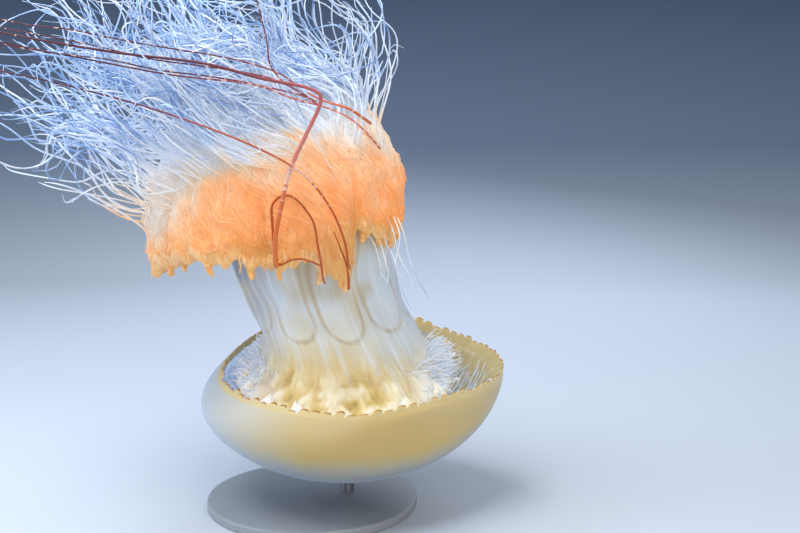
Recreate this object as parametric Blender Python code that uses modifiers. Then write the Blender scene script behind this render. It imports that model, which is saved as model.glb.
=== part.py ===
"""Nomura's jellyfish (Nemopilema nomurai), life size, bell down and mouth arms up, on a plain display stand.

Metres, +Z up, origin at the middle of the base's underside. The animal is modelled in its own frame, with
the tip of the bell at the origin and +Z towards the arms, and is then tilted and set on its post. Bell,
column and arms are turned or swept sections. The filaments that trail from the arms are modelled as tapered
locks, each following the same steady current, so that no two of them cross.
"""

import math

import bmesh
import bpy
from mathutils import Matrix, Vector

# The whole
GAP = 0.0004  # between pieces that meet
SEGMENTS = 8  # arms, and everything else that goes round the body by eights
OCTANT = math.tau / SEGMENTS
TILT = math.radians(10)  # the whole animal leans towards -Y

# Bell
BELL_RADIUS = 0.1635  # at the widest, a little below the rim
BELL_POINT = 0.25  # how much more pointed than an ellipse
BELL_BELLY = 0.097  # height of the widest ring above the bell's tip
BELL_CURL = math.radians(104)  # how far the profile turns, past the vertical, to the curled-in rim
BELL_FLARE = 0.0155  # how far the rim is drawn out towards +X
BELL_PINCH = 0.26  # how much narrower the drawn-out side is
PINCH_FROM, PINCH_TO = -0.02, 0.12  # along X
BELL_WAVE = 0.006  # the rim is higher at the front and back than at the sides
RIM = BELL_BELLY * (1 - math.cos(BELL_CURL))  # height of the rim
RIM_THICKNESS = 0.004
LIP_RISE = 0.0012  # of the rim's rounded inner edge
HOLLOW_RADIUS = 0.150  # inside of the bell
HOLLOW_DEPTH = 0.068
HOLLOW_TURN = math.radians(92)  # how far the bowl's wall turns up to the rim
JELLY = 0.045  # thickness of the bell under the column

# Lappets on the bell's margin
LAPPETS = 80
LAPPET_HEIGHT = 0.010
LAPPET_NOTCH = 0.45  # height between two lappets, as a share
LAPPET_THICKNESS = 0.003
LAPPET_CURL = 0.6  # how far a lappet leans in for its height
LAPPET_INSET = 0.0035  # from the rim's outer edge
LAPPET_CLEAR = math.radians(0.25)  # at each end of an octant

# Column
COLUMN_TOP = 0.302
COLUMN_RADII = (0.088, 0.081, 0.088)  # foot, waist, top
FOOT_TOP = 0.10  # height up to which the foot keeps its radius
COLUMN_WAIST = 0.190
FLUTE = 0.035  # depth of the flutes between the ribs, as a share of the radius
LEAN = -0.036  # how far the current carries the arms over, along X
LEAN_FROM, LEAN_TO = 0.12, 0.26  # heights between which the column bends over

# Scapulets
SCAPULET_MIDDLE = (0.112, 0.100)  # distance from the axis, and height
SCAPULET_HALF = (0.020, 0.026)  # half depth and half height
SCAPULET_SPREAD = math.radians(18)  # half width
SCAPULET_FRILL = 0.003

# Mouth arms
ARM_REACH = 0.137  # radius of the ring of arms
ARM_SKEW = 0.036  # more reach down current, less up current
ARM_TOP = 0.412
ARM_CORE = 0.008  # radius left open on the axis
ARM_GAP = math.radians(2.2)  # between neighbours
ARM_ROUNDING = 0.09  # how much an arm's sides fall back
ARM_FOLD = 0.025  # depth of the folds down an arm
FRINGE = 0.260  # height of the arms' hanging fringe, at its middle
FRINGE_RISE = (0.018, -0.016)  # and how much higher it is towards +X and +Y
FRINGE_DRIP = 0.007  # how far the fringe's points hang
DOME_FOOT = 0.026  # from the fringe up to where the arms are widest
DOME_SQUARE = 0.75  # under 1, the dome is fuller than an ellipse
SHELF = 0.0015  # between the hanging fringe and the column
LEAST_HANG = 0.010  # least thickness of the fringe

# The current that carries the filaments
SPREAD = 0.22  # how far the filaments spread as they rise off the arms
CURRENT_RISE = (33, 47)  # degrees above the level in which they trail, down current and up current
CURRENT_DRIFT = 0.10  # towards +Y
CURRENT_HEIGHT = 0.35  # where the current takes over above the axis
CURRENT_SLOPES = (1.15, 0.45)  # how that height changes down current and up current
CURRENT_DEPTH = 0.13  # over what height it takes over

# Locks, by ring: rise on the dome and turn off the arm's middle (degrees), half width, half thickness, length
LOCK_RINGS = {
    "outer": (14, -3, 0.028, 0.0085, 0.265),
    "middle": (44, 6, 0.019, 0.0095, 0.315),
    "inner": (70, -4, 0.009, 0.0080, 0.345),
}
LOCK_DROP = 10  # degrees by which the down-current locks start lower
LOCK_ROOT = (0.016, 0.006)  # how far inside and below the arm's surface a lock starts
LOCK_SWAY = 0.14  # longest and shortest lock, as a share
LOCK_TIP = (0.0012, 0.0010)  # half width and half thickness at the tip
LOCK_STEPS = 7
LOCK_SIDES = 6

# The two long red-brown strands. Each starts in the fringe of an arm and runs up over the front of the arms,
# clear of the locks, then away with the current. Points in the animal's frame, chosen by hand.
WHIPS = [
    [
        (-0.057, -0.120, 0.284), (-0.057, -0.141, 0.286), (-0.056, -0.152, 0.310), (-0.049, -0.158, 0.344),
        (-0.039, -0.160, 0.377), (-0.025, -0.161, 0.408), (-0.014, -0.161, 0.433), (-0.022, -0.161, 0.446),
        (-0.064, -0.160, 0.456), (-0.115, -0.158, 0.469), (-0.193, -0.155, 0.478), (-0.287, -0.150, 0.493),
        (-0.380, -0.144, 0.516),
    ],
    [
        (0.014, -0.108, 0.290), (0.012, -0.136, 0.290), (0.008, -0.150, 0.305), (-0.002, -0.158, 0.334),
        (-0.020, -0.164, 0.362), (-0.042, -0.168, 0.382), (-0.082, -0.167, 0.402), (-0.125, -0.162, 0.418),
        (-0.185, -0.157, 0.436), (-0.265, -0.153, 0.455), (-0.350, -0.147, 0.470),
    ],
]
WHIP_ARMS = (5, 6)  # the arm that each comes out of, counted from 0
WHIP_LENGTHS = 3  # nodes to a strand
WHIP_RADII = (0.0028, 0.0016)  # root and tip

# Stand
BASE_RADIUS = 0.115
BASE_THICKNESS = 0.010
BASE_EDGE = 0.002
POST_RADIUS = 0.007
CUP_RADII = (0.010, 0.022)  # bottom and top
CUP_HEIGHT = 0.010
CUP_HOLD = 0.0035  # how far the cup comes up round the bell
BELL_HEIGHT = 0.034  # lowest point of the bell above the floor
BELL_PLACE = (0.038, 0.012)  # where that point is, so that the weight is over the middle of the base


# ---------------------------------------------------------------- colours


def material(name, colour, roughness, metallic=0.0):
    made = bpy.data.materials.new(name)
    made.use_nodes = True
    shader = made.node_tree.nodes["Principled BSDF"]
    shader.inputs["Base Color"].default_value = (*colour, 1.0)
    shader.inputs["Roughness"].default_value = roughness
    shader.inputs["Metallic"].default_value = metallic
    return made


def make_materials():
    return {
        "bell": material("bell_jelly", (0.58, 0.50, 0.33), 0.30),
        "margin": material("lappet_margin", (0.42, 0.30, 0.16), 0.35),
        "column": material("column_jelly", (0.60, 0.67, 0.70), 0.30),
        "scapulet": material("scapulet_frill", (0.76, 0.66, 0.38), 0.45),
        "arm": material("mouth_frill", (0.83, 0.42, 0.15), 0.45),
        "filament": material("filament", (0.60, 0.70, 0.88), 0.40),
        "whip": material("whip", (0.30, 0.07, 0.04), 0.40),
        "stand": material("stand_paint", (0.30, 0.31, 0.33), 0.45),
        "post": material("stand_steel", (0.55, 0.55, 0.56), 0.30, 1.0),
    }


# ---------------------------------------------------------------- helpers


def smooth(low, high, x):
    """0 below low, 1 above high, and an even S between them."""
    t = min(1.0, max(0.0, (x - low) / (high - low)))
    return t * t * (3 - 2 * t)


def polar(angle, radius, z, lean=0.0):
    return Vector((radius * math.cos(angle) + lean, radius * math.sin(angle), z))


def put(bm, name, finish, collection, parent=None):
    """Turns a bmesh into a named object with its material, under the parent empty."""
    mesh = bpy.data.meshes.new(name)
    bm.to_mesh(mesh)
    bm.free()
    mesh.materials.append(finish)
    mesh.shade_smooth()
    mesh.set_sharp_from_angle(angle=math.radians(40))
    made = bpy.data.objects.new(name, mesh)
    collection.objects.link(made)
    made.parent = parent
    return made


def turned(profile, steps):
    """A closed solid from a (radius, z) profile whose ends lie on the axis."""
    bm = bmesh.new()
    verts = [bm.verts.new((radius, 0, z)) for radius, z in profile]
    edges = [bm.edges.new(pair) for pair in zip(verts, verts[1:])]
    whole = {"axis": (0, 0, 1), "cent": (0, 0, 0), "angle": math.tau, "steps": steps, "use_merge": True}
    bmesh.ops.spin(bm, geom=verts + edges, **whole)
    bmesh.ops.remove_doubles(bm, verts=bm.verts[:], dist=1e-6)
    bmesh.ops.recalc_face_normals(bm, faces=bm.faces[:])
    return bm


def swept(sections):
    """A closed solid through rings of equally many points, with its two ends capped."""
    bm = bmesh.new()
    rings = [[bm.verts.new(point) for point in section] for section in sections]
    edges = [[bm.edges.new((a, b)) for a, b in zip(ring, ring[1:] + ring[:1])] for ring in rings]
    for near, far in zip(edges, edges[1:]):
        bmesh.ops.bridge_loops(bm, edges=near + far)
    for end in (edges[0], edges[-1]):
        bmesh.ops.holes_fill(bm, edges=end, sides=0)
    bmesh.ops.triangulate(bm, faces=[face for face in bm.faces if len(face.verts) > 4])
    bmesh.ops.recalc_face_normals(bm, faces=bm.faces[:])
    return bm


def reshape(bm, move):
    for vert in bm.verts:
        vert.co = move(vert.co)
    return bm


def grown(source, by, collection):
    """A copy of a solid, swollen by a gap, to cut its neighbours with."""
    bm = bmesh.new()
    bm.from_mesh(source.data)
    bm.normal_update()
    places = [vert.co + vert.normal * by for vert in bm.verts]
    for vert, place in zip(bm.verts, places):
        vert.co = place
    made = put(bm, source.name + "_cutter", source.data.materials[0], collection, source.parent)
    made.hide_render = True
    made.display_type = "WIRE"
    return made


def cut(piece, cutter):
    modifier = piece.modifiers.new("meet_" + cutter.name, "BOOLEAN")
    modifier.operation = "DIFFERENCE"
    modifier.solver = "EXACT"
    modifier.object = cutter


# ---------------------------------------------------------------- bell


def bell_outside(turn):
    """(radius, z) of the bell's outer surface, from 0 at its tip to a quarter turn at its widest ring."""
    wide = math.sin(turn)
    return BELL_RADIUS * wide * (1 - BELL_POINT + BELL_POINT * wide**2), BELL_BELLY * (1 - math.cos(turn))


def bell_profile(rings=10, hollow_rings=6):
    """Outside from tip to curled-in rim, then down the bowl's wall to the flat floor under the column."""
    outside = [bell_outside(BELL_CURL * i / rings) for i in range(rings + 1)]
    foot = COLUMN_RADII[0]
    wall = []
    for i in range(hollow_rings + 1):
        turn = HOLLOW_TURN * (1 - i / hollow_rings)
        radius = foot + (HOLLOW_RADIUS - foot) * math.sin(turn)
        wall.append((radius, JELLY + HOLLOW_DEPTH * (1 - math.cos(turn))))
    lip = [(outside[-1][0] - RIM_THICKNESS, RIM + LIP_RISE), (HOLLOW_RADIUS, RIM - LIP_RISE)]
    return outside + lip + wall + [(0.0, JELLY)]


def flared(p):
    """The bell isn't quite round: its rim is drawn out into a narrow lip towards +X, and waves."""
    angle = math.atan2(p.y, p.x)
    share = smooth(JELLY, RIM, p.z)
    pinch = 1 - BELL_PINCH * smooth(PINCH_FROM, PINCH_TO, p.x) * share
    wave = BELL_WAVE * (math.cos(3 * angle + 0.5) / 3 - math.cos(2 * angle)) * share
    return Vector((p.x + BELL_FLARE * (p.z / RIM) ** 4 * share, p.y * pinch, p.z + wave))


def make_bell(finish, collection, pose):
    bm = turned(bell_profile(), steps=5 * SEGMENTS)
    return put(reshape(bm, flared), "bell", finish, collection, pose)


def make_lappets(number, finish, collection, pose):
    """One octant of the scalloped margin that stands on the rim and curls in."""
    steps = 2 * LAPPETS // SEGMENTS
    outer = bell_outside(BELL_CURL)[0] - LAPPET_INSET
    foot = RIM + LIP_RISE + 2 * GAP
    sections = []
    for i in range(steps + 1):
        angle = number * OCTANT + LAPPET_CLEAR + (OCTANT - 2 * LAPPET_CLEAR) * i / steps
        tall = LAPPET_HEIGHT * (1.0 if i % 2 else LAPPET_NOTCH)
        section = [(outer, foot), (outer - LAPPET_CURL * tall, foot + tall), (outer - LAPPET_THICKNESS, foot)]
        sections.append([flared(polar(angle, radius, z)) for radius, z in section])
    return put(swept(sections), f"lappets_{number + 1}", finish, collection, pose)


# ---------------------------------------------------------------- column


def lean_at(z):
    return LEAN * smooth(LEAN_FROM, LEAN_TO, z)


def column_radius(angle, z):
    """Radius of the fluted column, whose eight ribs are the feet of the arms."""
    foot, waist, top = COLUMN_RADII
    if z < COLUMN_WAIST:
        plain = foot + (waist - foot) * smooth(FOOT_TOP, COLUMN_WAIST, z)
    else:
        plain = waist + (top - waist) * smooth(COLUMN_WAIST, COLUMN_TOP, z)
    return plain * (1 - FLUTE * smooth(FOOT_TOP, LEAN_TO, z) * math.cos(SEGMENTS * angle))


def make_column(finish, collection, pose):
    rings = 9
    low = JELLY + GAP
    side = [(1.0, low + (COLUMN_TOP - low) * i / rings) for i in range(rings + 1)]
    profile = [(0.0, low), *side, (0.0, COLUMN_TOP)]

    def fluted(p):
        angle = math.atan2(p.y, p.x)
        return polar(angle, column_radius(angle, p.z) * math.hypot(p.x, p.y), p.z, lean_at(p.z))

    bm = turned(profile, steps=4 * SEGMENTS)
    return put(reshape(bm, fluted), "column", finish, collection, pose)


# ---------------------------------------------------------------- scapulets


def make_scapulets(number, finish, collection, pose):
    """A pair of the small frilled mouths at the foot of the column, inside the bell."""
    middle = OCTANT * (number + 0.5)
    bm = bmesh.new()
    bmesh.ops.create_uvsphere(bm, u_segments=12, v_segments=6, radius=1.0)

    def shaped(p):
        depth = SCAPULET_HALF[0] + SCAPULET_FRILL * math.cos(9 * p.y)
        z = SCAPULET_MIDDLE[1] + SCAPULET_HALF[1] * p.z
        angle = middle + SCAPULET_SPREAD * p.y
        radius = max(SCAPULET_MIDDLE[0] + depth * p.x, column_radius(angle, z) + 3 * GAP)
        return polar(angle, radius, z, lean_at(z))

    return put(reshape(bm, shaped), f"scapulets_{number + 1}", finish, collection, pose)


# ---------------------------------------------------------------- mouth arms


def arm_reach(angle):
    return ARM_REACH - ARM_SKEW * math.cos(angle)


def fringe_height(angle):
    return FRINGE + FRINGE_RISE[0] * math.cos(angle) + FRINGE_RISE[1] * math.sin(angle)


def dome(angle, rise):
    """(radius, z) of the arms' outer surface. Rise runs from 0, where it is widest, to a quarter turn."""
    foot = fringe_height(angle) + DOME_FOOT
    radius = arm_reach(angle) * max(0.0, math.cos(rise)) ** DOME_SQUARE
    return radius, foot + (ARM_TOP - foot) * math.sin(rise)


def arm_section(angle, across):
    """(radius, z) round one arm at this angle. Across runs from -1 to 1 over its width."""
    lobe = 1 - ARM_ROUNDING * across**2 - ARM_FOLD * math.cos(9 * across)
    low = fringe_height(angle)
    drip = low - FRINGE_DRIP * math.cos(7 * across)
    inner = column_radius(angle, COLUMN_TOP) * (1 + FLUTE) + SHELF
    outer = max(arm_reach(angle) * lobe, inner + LEAST_HANG)
    points = [
        (ARM_CORE, COLUMN_TOP + GAP),
        (inner, COLUMN_TOP + GAP),
        (inner, low + LEAST_HANG),
        (inner + 0.35 * (outer - inner), drip),
        (inner + 0.80 * (outer - inner), drip),
        (outer, low + DOME_FOOT),
    ]
    for degrees in range(13, 85, 14):
        radius, z = dome(angle, math.radians(degrees))
        points.append((max(radius * lobe, ARM_CORE), z - LEAST_HANG * (1 - lobe)))
    return points


def make_arm(number, finish, collection, pose):
    steps = 6
    sections = []
    for i in range(steps + 1):
        across = -1 + 2 * i / steps
        angle = OCTANT * (number + 0.5) + across * (OCTANT - ARM_GAP) / 2
        sections.append([polar(angle, radius, z, LEAN) for radius, z in arm_section(angle, across)])
    return put(swept(sections), f"arm_{number + 1}", finish, collection, pose)


# ---------------------------------------------------------------- filaments


def current(p):
    """Which way the water carries a filament here: up along the arms, then away with the current."""
    out = Vector((p.x - LEAN, p.y, 0))
    rising = Vector((0, 0, 1)) + SPREAD * out / max(out.length, 0.08)
    low, high = CURRENT_RISE
    rise = math.radians(low + (high - low) * smooth(-0.06, 0.08, p.x))
    away = Vector((-math.cos(rise), CURRENT_DRIFT, math.sin(rise)))
    beyond = p.x - LEAN
    start = CURRENT_HEIGHT + CURRENT_SLOPES[0 if beyond < 0 else 1] * beyond
    share = smooth(start, start + CURRENT_DEPTH, p.z)
    return (rising.normalized() * (1 - share) + away.normalized() * share).normalized()


def streamline(start, length, steps):
    """Points along the current from a start, as steps of equal length."""
    points = [start]
    for _ in range(steps):
        here = points[-1]
        halfway = here + current(here) * (length / steps / 2)
        points.append(here + current(halfway) * (length / steps))
    return points


def lock_sections(path, width, thickness):
    """Rings along a path: a flat oval, broadest a quarter of the way along, that narrows to the tip."""
    sections = []
    last = len(path) - 1
    for i, here in enumerate(path):
        share = i / last
        along = (path[min(i + 1, last)] - path[max(i - 1, 0)]).normalized()
        sideways = along.cross(Vector((here.x - LEAN, here.y, 0.05))).normalized()
        out = sideways.cross(along)
        taper = (1 - share) ** 0.65
        half_wide = LOCK_TIP[0] + width * taper * (0.65 + 0.35 * smooth(0, 0.25, share))
        half_thick = LOCK_TIP[1] + thickness * taper
        turns = [math.tau * (k + 0.5) / LOCK_SIDES for k in range(LOCK_SIDES)]
        wide, thick = sideways * half_wide, out * half_thick
        sections.append([here + wide * math.cos(turn) + thick * math.sin(turn) for turn in turns])
    return sections


def make_lock(number, ring, finish, collection, pose):
    rise, aside, width, thickness, length = LOCK_RINGS[ring]
    angle = OCTANT * (number + 0.5) + math.radians(aside)
    rise -= LOCK_DROP * max(0.0, -math.cos(angle)) * math.cos(math.radians(rise))
    radius, z = dome(angle, math.radians(rise))
    root = polar(angle, radius - LOCK_ROOT[0], z - LOCK_ROOT[1], LEAN)
    own_length = length * (1 + LOCK_SWAY * math.sin(2.4 * number + rise))
    sections = lock_sections(streamline(root, own_length, LOCK_STEPS), width, thickness)
    return put(swept(sections), f"filaments_{number + 1}_{ring}", finish, collection, pose)


# ---------------------------------------------------------------- whips


def through(points, steps):
    """Evenly stepped points on a smooth curve through the given ones."""
    route = [Vector(point) for point in points]
    route = [2 * route[0] - route[1], *route, 2 * route[-1] - route[-2]]
    curve = []
    for a, b, c, d in zip(route, route[1:], route[2:], route[3:]):
        for i in range(steps):
            t = i / steps
            bend = (2 * a - 5 * b + 4 * c - d) * t**2 + (3 * b - a - 3 * c + d) * t**3
            curve.append(0.5 * (2 * b + (c - a) * t + bend))
    return curve + [route[-2]]


def tube(path, radii, name, finish, collection, parent):
    """A strand as a bevelled curve, made a closed mesh."""
    curve = bpy.data.curves.new(name, "CURVE")
    curve.dimensions = "3D"
    curve.bevel_depth = 1.0
    curve.bevel_resolution = 1
    curve.use_fill_caps = True
    spline = curve.splines.new("POLY")
    spline.points.add(len(path) - 1)
    for point, place, radius in zip(spline.points, path, radii):
        point.co = (*place, 1.0)
        point.radius = radius
    shape = bpy.data.objects.new(name + "_curve", curve)
    collection.objects.link(shape)
    mesh = bpy.data.meshes.new_from_object(shape.evaluated_get(bpy.context.evaluated_depsgraph_get()))
    bpy.data.objects.remove(shape)
    bm = bmesh.new()
    bm.from_mesh(mesh)
    bmesh.ops.remove_doubles(bm, verts=bm.verts[:], dist=1e-6)
    return put(bm, name, finish, collection, parent)


def make_whip(number, finish, collection, pose):
    """One strand, in lengths that meet end to end."""
    path = through(WHIPS[number], 2)
    last = len(path) - 1
    thick, thin = WHIP_RADII
    radii = [thick + (thin - thick) * i / last for i in range(last + 1)]
    each = math.ceil(last / WHIP_LENGTHS)
    lengths = []
    for start in range(0, last, each):
        own_path = path[start : start + each + 1]
        if start:
            own_path[0] = own_path[0] + (own_path[1] - own_path[0]).normalized() * GAP
        name = f"whip_{number + 1}_length_{len(lengths) + 1}"
        lengths.append(tube(own_path, radii[start : start + each + 1], name, finish, collection, pose))
    return lengths


# ---------------------------------------------------------------- stand


def drum(name, radii, low, high, sides, finish, collection, place=(0, 0)):
    """A round bar or cone, upright, from low to high."""
    bm = bmesh.new()
    middle = Matrix.Translation((*place, (low + high) / 2))
    bmesh.ops.create_cone(
        bm, cap_ends=True, segments=sides, radius1=radii[0], radius2=radii[1], depth=high - low, matrix=middle
    )
    return put(bm, name, finish, collection)


def make_stand(finishes, collection, bell_cutter):
    base = drum("stand_base", (BASE_RADIUS,) * 2, 0.0, BASE_THICKNESS, 56, finishes["stand"], collection)
    edge = base.modifiers.new("edge", "BEVEL")
    edge.width = BASE_EDGE
    edge.segments = 2
    edge.limit_method = "ANGLE"
    cup_top = BELL_HEIGHT + CUP_HOLD
    cup_low = cup_top - CUP_HEIGHT
    post = (BASE_THICKNESS + GAP, cup_low - GAP)
    drum("stand_post", (POST_RADIUS,) * 2, *post, 20, finishes["post"], collection, BELL_PLACE)
    cup = drum("stand_cup", CUP_RADII, cup_low, cup_top, 24, finishes["stand"], collection, BELL_PLACE)
    cut(cup, bell_cutter)


# ---------------------------------------------------------------- the whole


def make_pose(collection):
    """The frame that the animal is modelled in, tilted. It is set on the stand once the bell is there."""
    pose = bpy.data.objects.new("pose", None)
    collection.objects.link(pose)
    pose.rotation_euler = (TILT, 0, 0)
    return pose


def set_on_stand(pose, bell):
    turn = Matrix.Rotation(TILT, 4, "X")
    lowest = min((turn @ vert.co for vert in bell.data.vertices), key=lambda place: place.z)
    pose.location = (BELL_PLACE[0] - lowest.x, BELL_PLACE[1] - lowest.y, BELL_HEIGHT - lowest.z)


def main():
    for old in list(bpy.data.objects):
        bpy.data.objects.remove(old)
    finishes = make_materials()
    model = bpy.data.collections.new("nomuras_jellyfish")
    cutters = bpy.data.collections.new("cutters")
    for group in (model, cutters):
        bpy.context.scene.collection.children.link(group)

    pose = make_pose(model)
    bell = make_bell(finishes["bell"], model, pose)
    set_on_stand(pose, bell)
    make_stand(finishes, model, grown(bell, GAP, cutters))
    make_column(finishes["column"], model, pose)
    arms = []
    for number in range(SEGMENTS):
        make_lappets(number, finishes["margin"], model, pose)
        make_scapulets(number, finishes["scapulet"], model, pose)
        arms.append(make_arm(number, finishes["arm"], model, pose))

    arm_cutters = [grown(arm, 1.5 * GAP, cutters) for arm in arms]
    for number in range(SEGMENTS):
        for ring in LOCK_RINGS:
            lock = make_lock(number, ring, finishes["filament"], model, pose)
            cut(lock, arm_cutters[number])
            if ring == "inner":  # these lie across the arm that is next down the current
                cut(lock, arm_cutters[number - 1])
                cut(lock, arm_cutters[(number + 1) % SEGMENTS])
    for number, arm in enumerate(WHIP_ARMS):
        root_length = make_whip(number, finishes["whip"], model, pose)[0]
        cut(root_length, arm_cutters[arm])


main()
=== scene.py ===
"""A Nomura's jellyfish, life size, bell down and mouth arms up, on its display stand.

One skin covers the flesh of bell, column and arms. Frills, mouthlets and filaments grow on it as solid
meshes. Everything is in metres. The animal is shaped in its own frame, with the tip of the bell at the
origin and +Z towards the arms, and is then set on the stand with a lean of ten degrees.
"""

import math

import bpy
import numpy as np
from mathutils import Matrix, Vector


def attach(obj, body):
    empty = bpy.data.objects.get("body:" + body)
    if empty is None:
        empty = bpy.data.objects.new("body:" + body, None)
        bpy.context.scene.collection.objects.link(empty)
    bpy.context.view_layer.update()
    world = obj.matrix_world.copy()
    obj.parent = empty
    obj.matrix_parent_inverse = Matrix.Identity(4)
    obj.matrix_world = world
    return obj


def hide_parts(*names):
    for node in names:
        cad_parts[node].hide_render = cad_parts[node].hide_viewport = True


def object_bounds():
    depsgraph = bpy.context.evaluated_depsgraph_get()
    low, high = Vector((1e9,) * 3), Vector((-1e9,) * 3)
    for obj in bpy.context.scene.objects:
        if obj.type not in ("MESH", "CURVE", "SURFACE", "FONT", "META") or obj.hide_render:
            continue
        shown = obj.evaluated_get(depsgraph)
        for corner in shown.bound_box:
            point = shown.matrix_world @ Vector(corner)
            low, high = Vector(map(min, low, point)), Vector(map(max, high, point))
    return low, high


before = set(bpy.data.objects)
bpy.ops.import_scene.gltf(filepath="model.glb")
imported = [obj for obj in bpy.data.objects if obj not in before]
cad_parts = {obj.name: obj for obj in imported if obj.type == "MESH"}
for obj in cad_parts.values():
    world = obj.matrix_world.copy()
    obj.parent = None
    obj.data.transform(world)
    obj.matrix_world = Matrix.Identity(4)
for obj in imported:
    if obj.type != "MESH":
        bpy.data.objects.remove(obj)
cad_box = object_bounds()


# ---------------------------------------------------------------- where the animal hangs, and the view of it
# The living animal swims bell down. The model rests in a small cup under its bell, leaning towards the
# viewer, who looks a little down on it and into the bell.

ANIMAL = Matrix.Translation((0.038, 0.0343, 0.0363)) @ Matrix.Rotation(math.radians(10), 4, "X")
RIM_CENTRE = Vector((0.0155, 0.0, 0.122))


def placed(points):
    """Points of the animal's own frame, one to a row, where they lie in the room."""
    return points @ np.array(ANIMAL.to_3x3()).T + np.array(ANIMAL.translation)


bpy.ops.object.camera_add(
    location=ANIMAL @ RIM_CENTRE + Vector((0.043, -1.195, 0.2737)), rotation=(math.radians(82), 0, 0)
)
camera = bpy.context.object
camera.name = "camera"
camera.data.lens = 50
camera.data.sensor_width = 36
bpy.context.scene.camera = camera
bpy.context.scene.view_settings.view_transform = "Standard"


# ---------------------------------------------------------------- skin
# The flesh of the animal in one piece, from the tip of the bell over the scalloped margin, down into the
# bowl, up the column and round under the fringe to the crown of the arms. Clear stiff jelly throughout,
# milky in the bell, glassy in the column. It is shaped from one sheet, wrapped round and closed.

COLUMNS = 640  # of faces, eight to a lappet
LAPPETS = 80
LEAN = -0.036  # how far the arms are carried over, along X
RIM = 0.1205
BOWL_FLOOR = 0.045
FOOT_RADIUS = 0.088  # of the column's foot, and of the bowl's floor
FOOT_LOW, WAIST = 0.116, 0.190  # heights between which the yellow foot narrows to the column
ARM_TOP = 0.412
COAT_DEPTH = 0.004  # the mouthlets on the arms stand this far off the skin
ROWS = {  # rows of faces to each stretch of the skin, in order from the bell's tip to the arms' crown
    "bell": 32, "margin": 12, "bowl": 14, "tuck": 6, "foot": 20, "column": 16, "under": 6, "fringe": 8, "crown": 34,
}
FRINGE_EDGE = [  # the hanging edge of the arms: angle round the axis in degrees, and height in millimetres
    (-180, 236), (-172, 230), (-163, 244), (-155, 258), (-145, 266), (-135, 277), (-126, 273), (-119, 279),
    (-113.5, 281), (-110.8, 266), (-107.5, 277), (-99, 273), (-96, 280), (-84, 277), (-80.5, 260), (-77, 265),
    (-72, 257), (-68.4, 247), (-65, 253), (-62, 268), (-60, 298), (-55, 297), (-43, 286), (-32, 277), (-19, 267),
    (-8, 274), (5, 270), (15, 256), (22, 268), (34, 262), (44, 240), (56, 254), (70, 262), (82, 243), (94, 250),
    (108, 262), (122, 240), (134, 250), (146, 232), (155, 238), (163, 224), (170, 224), (180, 236),
]


def smooth(low, high, x):
    """0 below low, 1 above high, and an even S between them."""
    t = np.clip((x - low) / (high - low), 0.0, 1.0)
    return t * t * (3 - 2 * t)


def lumps(points, size, seed):
    """Even random swellings, mostly between -1 and 1, of about this size in metres."""
    own = np.random.default_rng(seed)
    total = np.zeros(points.shape[:-1])
    for _ in range(10):
        way = own.normal(size=3)
        way *= math.tau / size * own.uniform(0.6, 1.5) / np.linalg.norm(way)
        total += np.sin(points @ way + own.uniform(0, math.tau))
    return total / 3.2


def polar(angle, radius, z, lean=0.0):
    return np.stack(np.broadcast_arrays(radius * np.cos(angle) + lean, radius * np.sin(angle), z), axis=-1)


def flared(p):
    """Draws the bell's rim out into a narrow lip towards +X, and lets it wave."""
    x, y, z = p[..., 0], p[..., 1], p[..., 2]
    angle = np.arctan2(y, x)
    share = smooth(0.045, RIM, z)
    pinch = 1 - 0.26 * smooth(-0.02, 0.12, x) * share
    wave = 0.006 * (np.cos(3 * angle + 0.5) / 3 - np.cos(2 * angle)) * share
    return np.stack([x + 0.0155 * (z / RIM) ** 4 * share, y * pinch, z + wave], axis=-1)


def bell_outside(turn):
    wide = np.sin(turn)
    return 0.1635 * wide * (0.75 + 0.25 * wide**2), 0.097 * (1 - np.cos(turn))


def lean_at(z):
    return LEAN * smooth(0.12, 0.26, z)


def column_radius(angle, z):
    """Narrowest at its waist, with eight soft ribs that run up to the arms."""
    plain = FOOT_RADIUS - 0.007 * smooth(0.10, WAIST, z) + 0.007 * smooth(WAIST, 0.302, z)
    return plain * (1 - 0.035 * smooth(0.10, 0.26, z) * np.cos(8 * angle))


def arm_reach(angle):
    return 0.137 - 0.036 * np.cos(angle)


def fringe_height(angle):
    return 0.260 + 0.018 * np.cos(angle) - 0.016 * np.sin(angle)


def fringe_edge(angle):
    """The hanging edge: its large scallops, and the soft drips that it ends in."""
    degrees = (np.degrees(angle) + 180) % 360 - 180
    own = np.random.default_rng(12)
    turns, heights = zip(*FRINGE_EDGE)
    hang = np.interp(degrees, turns, np.array(heights) / 1000)
    for middle in np.arange(-180, 180, 9.0) + own.uniform(-3, 3, 40):
        across = (degrees - middle + 180) % 360 - 180
        hang = hang - own.uniform(0.001, 0.009) * np.exp(-((across / own.uniform(1.5, 3.0)) ** 2))
    return hang


def arm_lobe(angle, rise):
    """How far the skin of the arms stands out, as a share: eight soft lobes with creases between them."""
    across = (np.degrees(angle) + 16) % 45 / 45 - 0.5
    crease = np.exp(-(((np.abs(across) - 0.5) / 0.085) ** 2))
    fold = 0.5 + 0.5 * np.cos(angle * 29 + 1.2 * np.sin(3 * angle))
    return 1 - (0.085 * crease + 0.022 * fold) * (1 - smooth(0.1, 0.9, rise))


def crown(angle, rise):
    """(radius, z) of the arms' skin. Rise runs from 0, where it is widest, to a quarter turn."""
    foot = np.maximum(fringe_height(angle) + 0.026, fringe_edge(angle) + 0.022)
    radius = (arm_reach(angle) - COAT_DEPTH) * np.cos(rise).clip(0) ** 0.75 * arm_lobe(angle, rise)
    return radius, foot + (ARM_TOP - COAT_DEPTH - foot) * np.sin(rise)


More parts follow.
